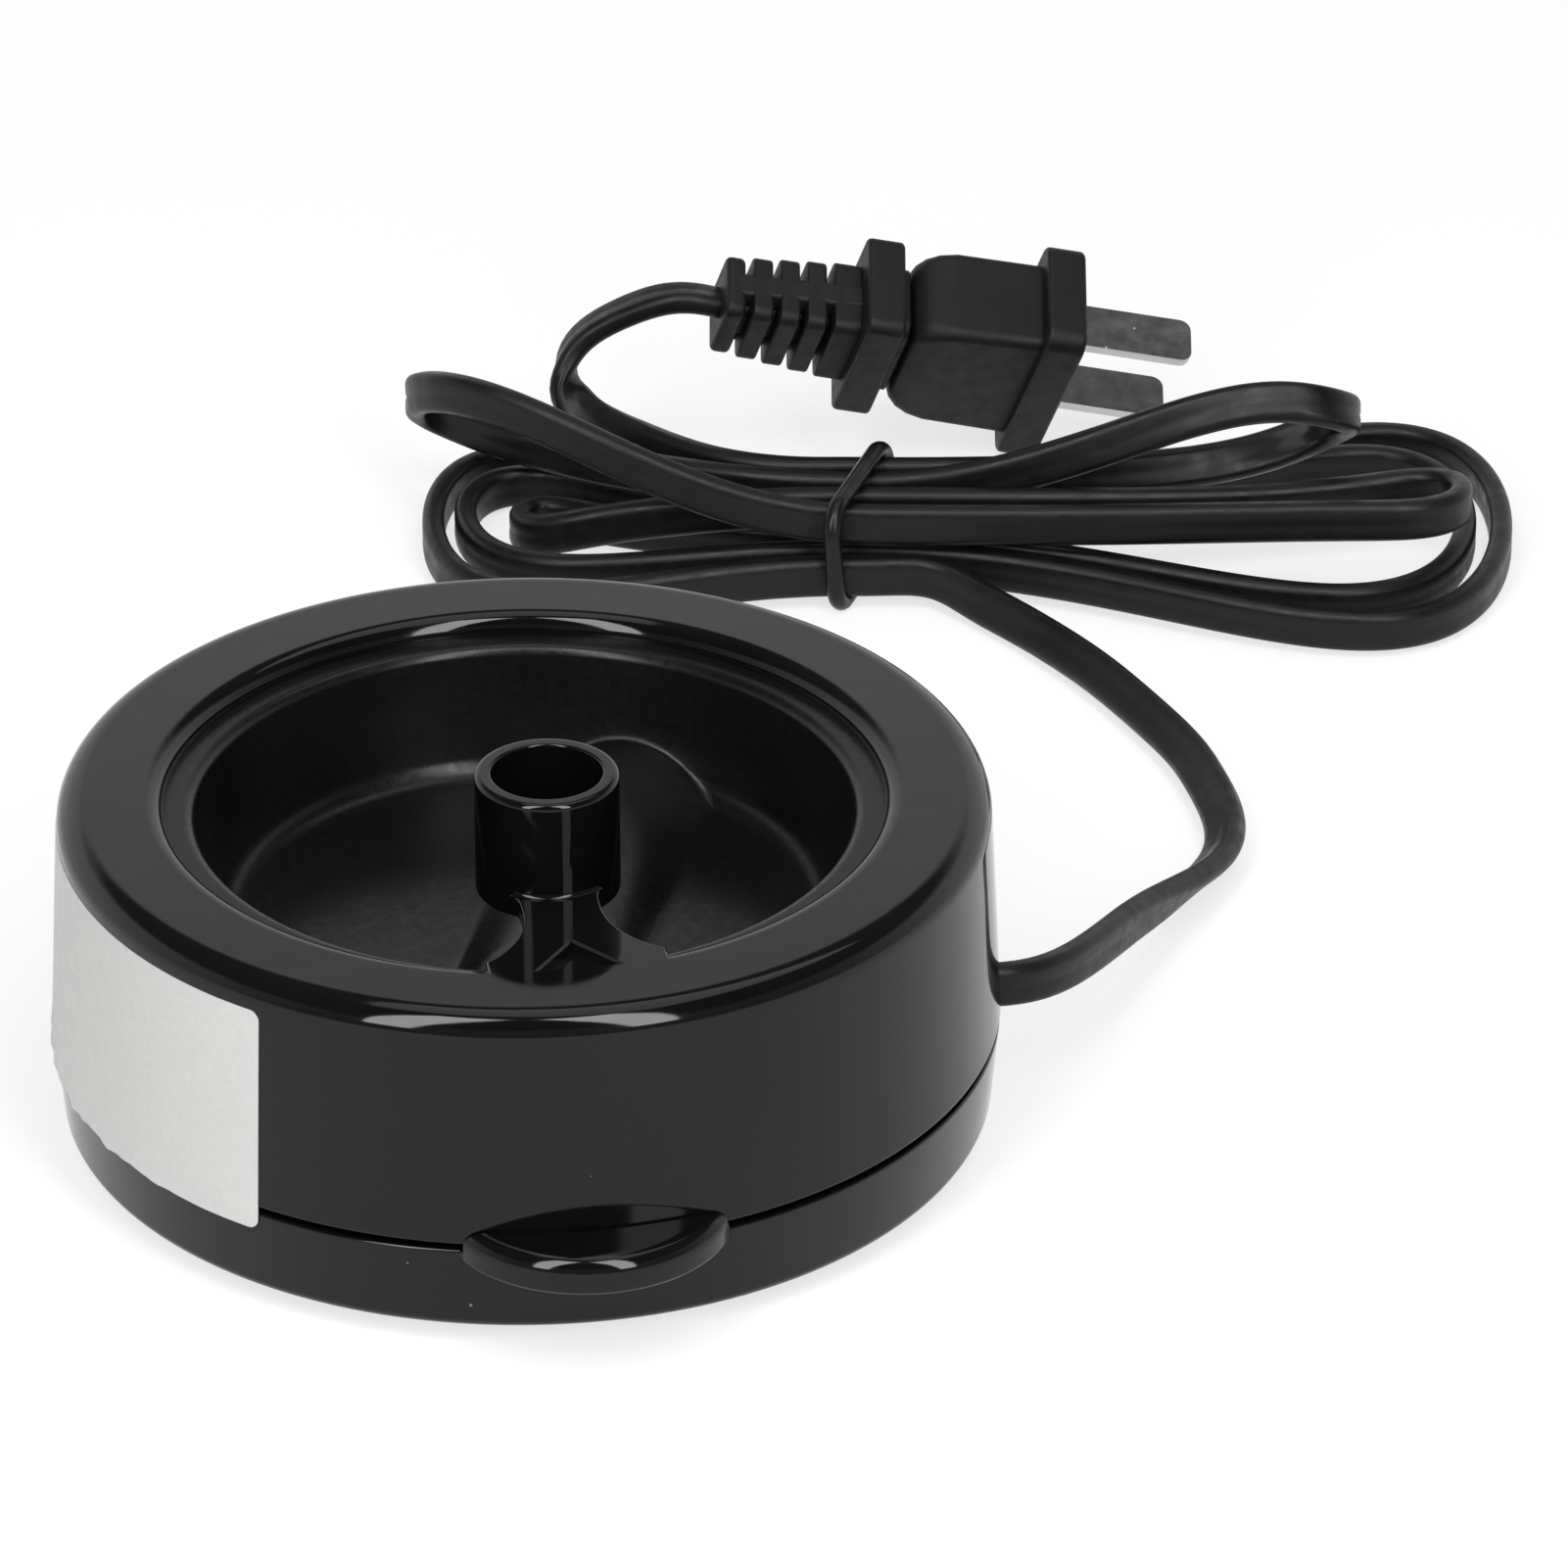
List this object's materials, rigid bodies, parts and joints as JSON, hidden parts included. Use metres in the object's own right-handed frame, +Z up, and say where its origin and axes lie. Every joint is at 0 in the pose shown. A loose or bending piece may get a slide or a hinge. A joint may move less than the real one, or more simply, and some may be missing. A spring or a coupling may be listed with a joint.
{
  "type": "wax seal warmer",
  "caption": "Round black electric melting pot with a shallow coated dish, a tool tube on a tongue at the front, a half-moon tab and a hanked flat mains cord.",
  "frame": {"origin": "at the table plane under the feet, in the middle of the pot's outline from side to side and from tab to back; the body axis is 3.6 mm behind it", "axes": "+Z up, parallel to the body axis, -Y to the front where the tab and the tool tube are, +X to the side where the cord leaves"},
  "size_m": [0.1966, 0.2238, 0.0531],
  "materials": {
    "gloss_moulding": "gloss black",
    "coated_dish": "satin black non-stick coat",
    "gasket_sheet": "matte",
    "plain_steel": "plain",
    "heater_case": "satin",
    "lead_sleeve": "matte",
    "inner_plastic": "matte",
    "foot_rubber": "matte",
    "label_film": "satin",
    "cord_jacket": "satin",
    "tie_plastic": "satin",
    "blade_metal": "bright plated"
  },
  "bodies": {
    "root": {"upper_shell": "gloss_moulding", "base_shell": "gloss_moulding", "melting_dish": "coated_dish", "rim_gasket": "gasket_sheet", "clamp_ring": "plain_steel", "clamp_screws": "plain_steel", "heater": "heater_case", "heater_bracket": "plain_steel", "bracket_nuts": "plain_steel", "fuse_sleeve": "lead_sleeve", "thermal_fuse": "heater_case", "heat_shield": "heater_case", "live_lead": "lead_sleeve", "link_lead": "lead_sleeve", "neutral_lead": "lead_sleeve", "connectors": "inner_plastic", "cord_cores": "lead_sleeve", "cord_clamp": "inner_plastic", "cord_clamp_screws": "plain_steel", "base_screws": "plain_steel", "foot_front_left": "foot_rubber", "foot_front_right": "foot_rubber", "foot_rear_left": "foot_rubber", "foot_rear_right": "foot_rubber", "label": "label_film", "cord_lead": "cord_jacket", "cord_hank": "cord_jacket", "cord_tail": "cord_jacket", "cord_tie": "tie_plastic", "plug_body": "cord_jacket", "plug_blades": "blade_metal"}
  },
  "joints": []
}
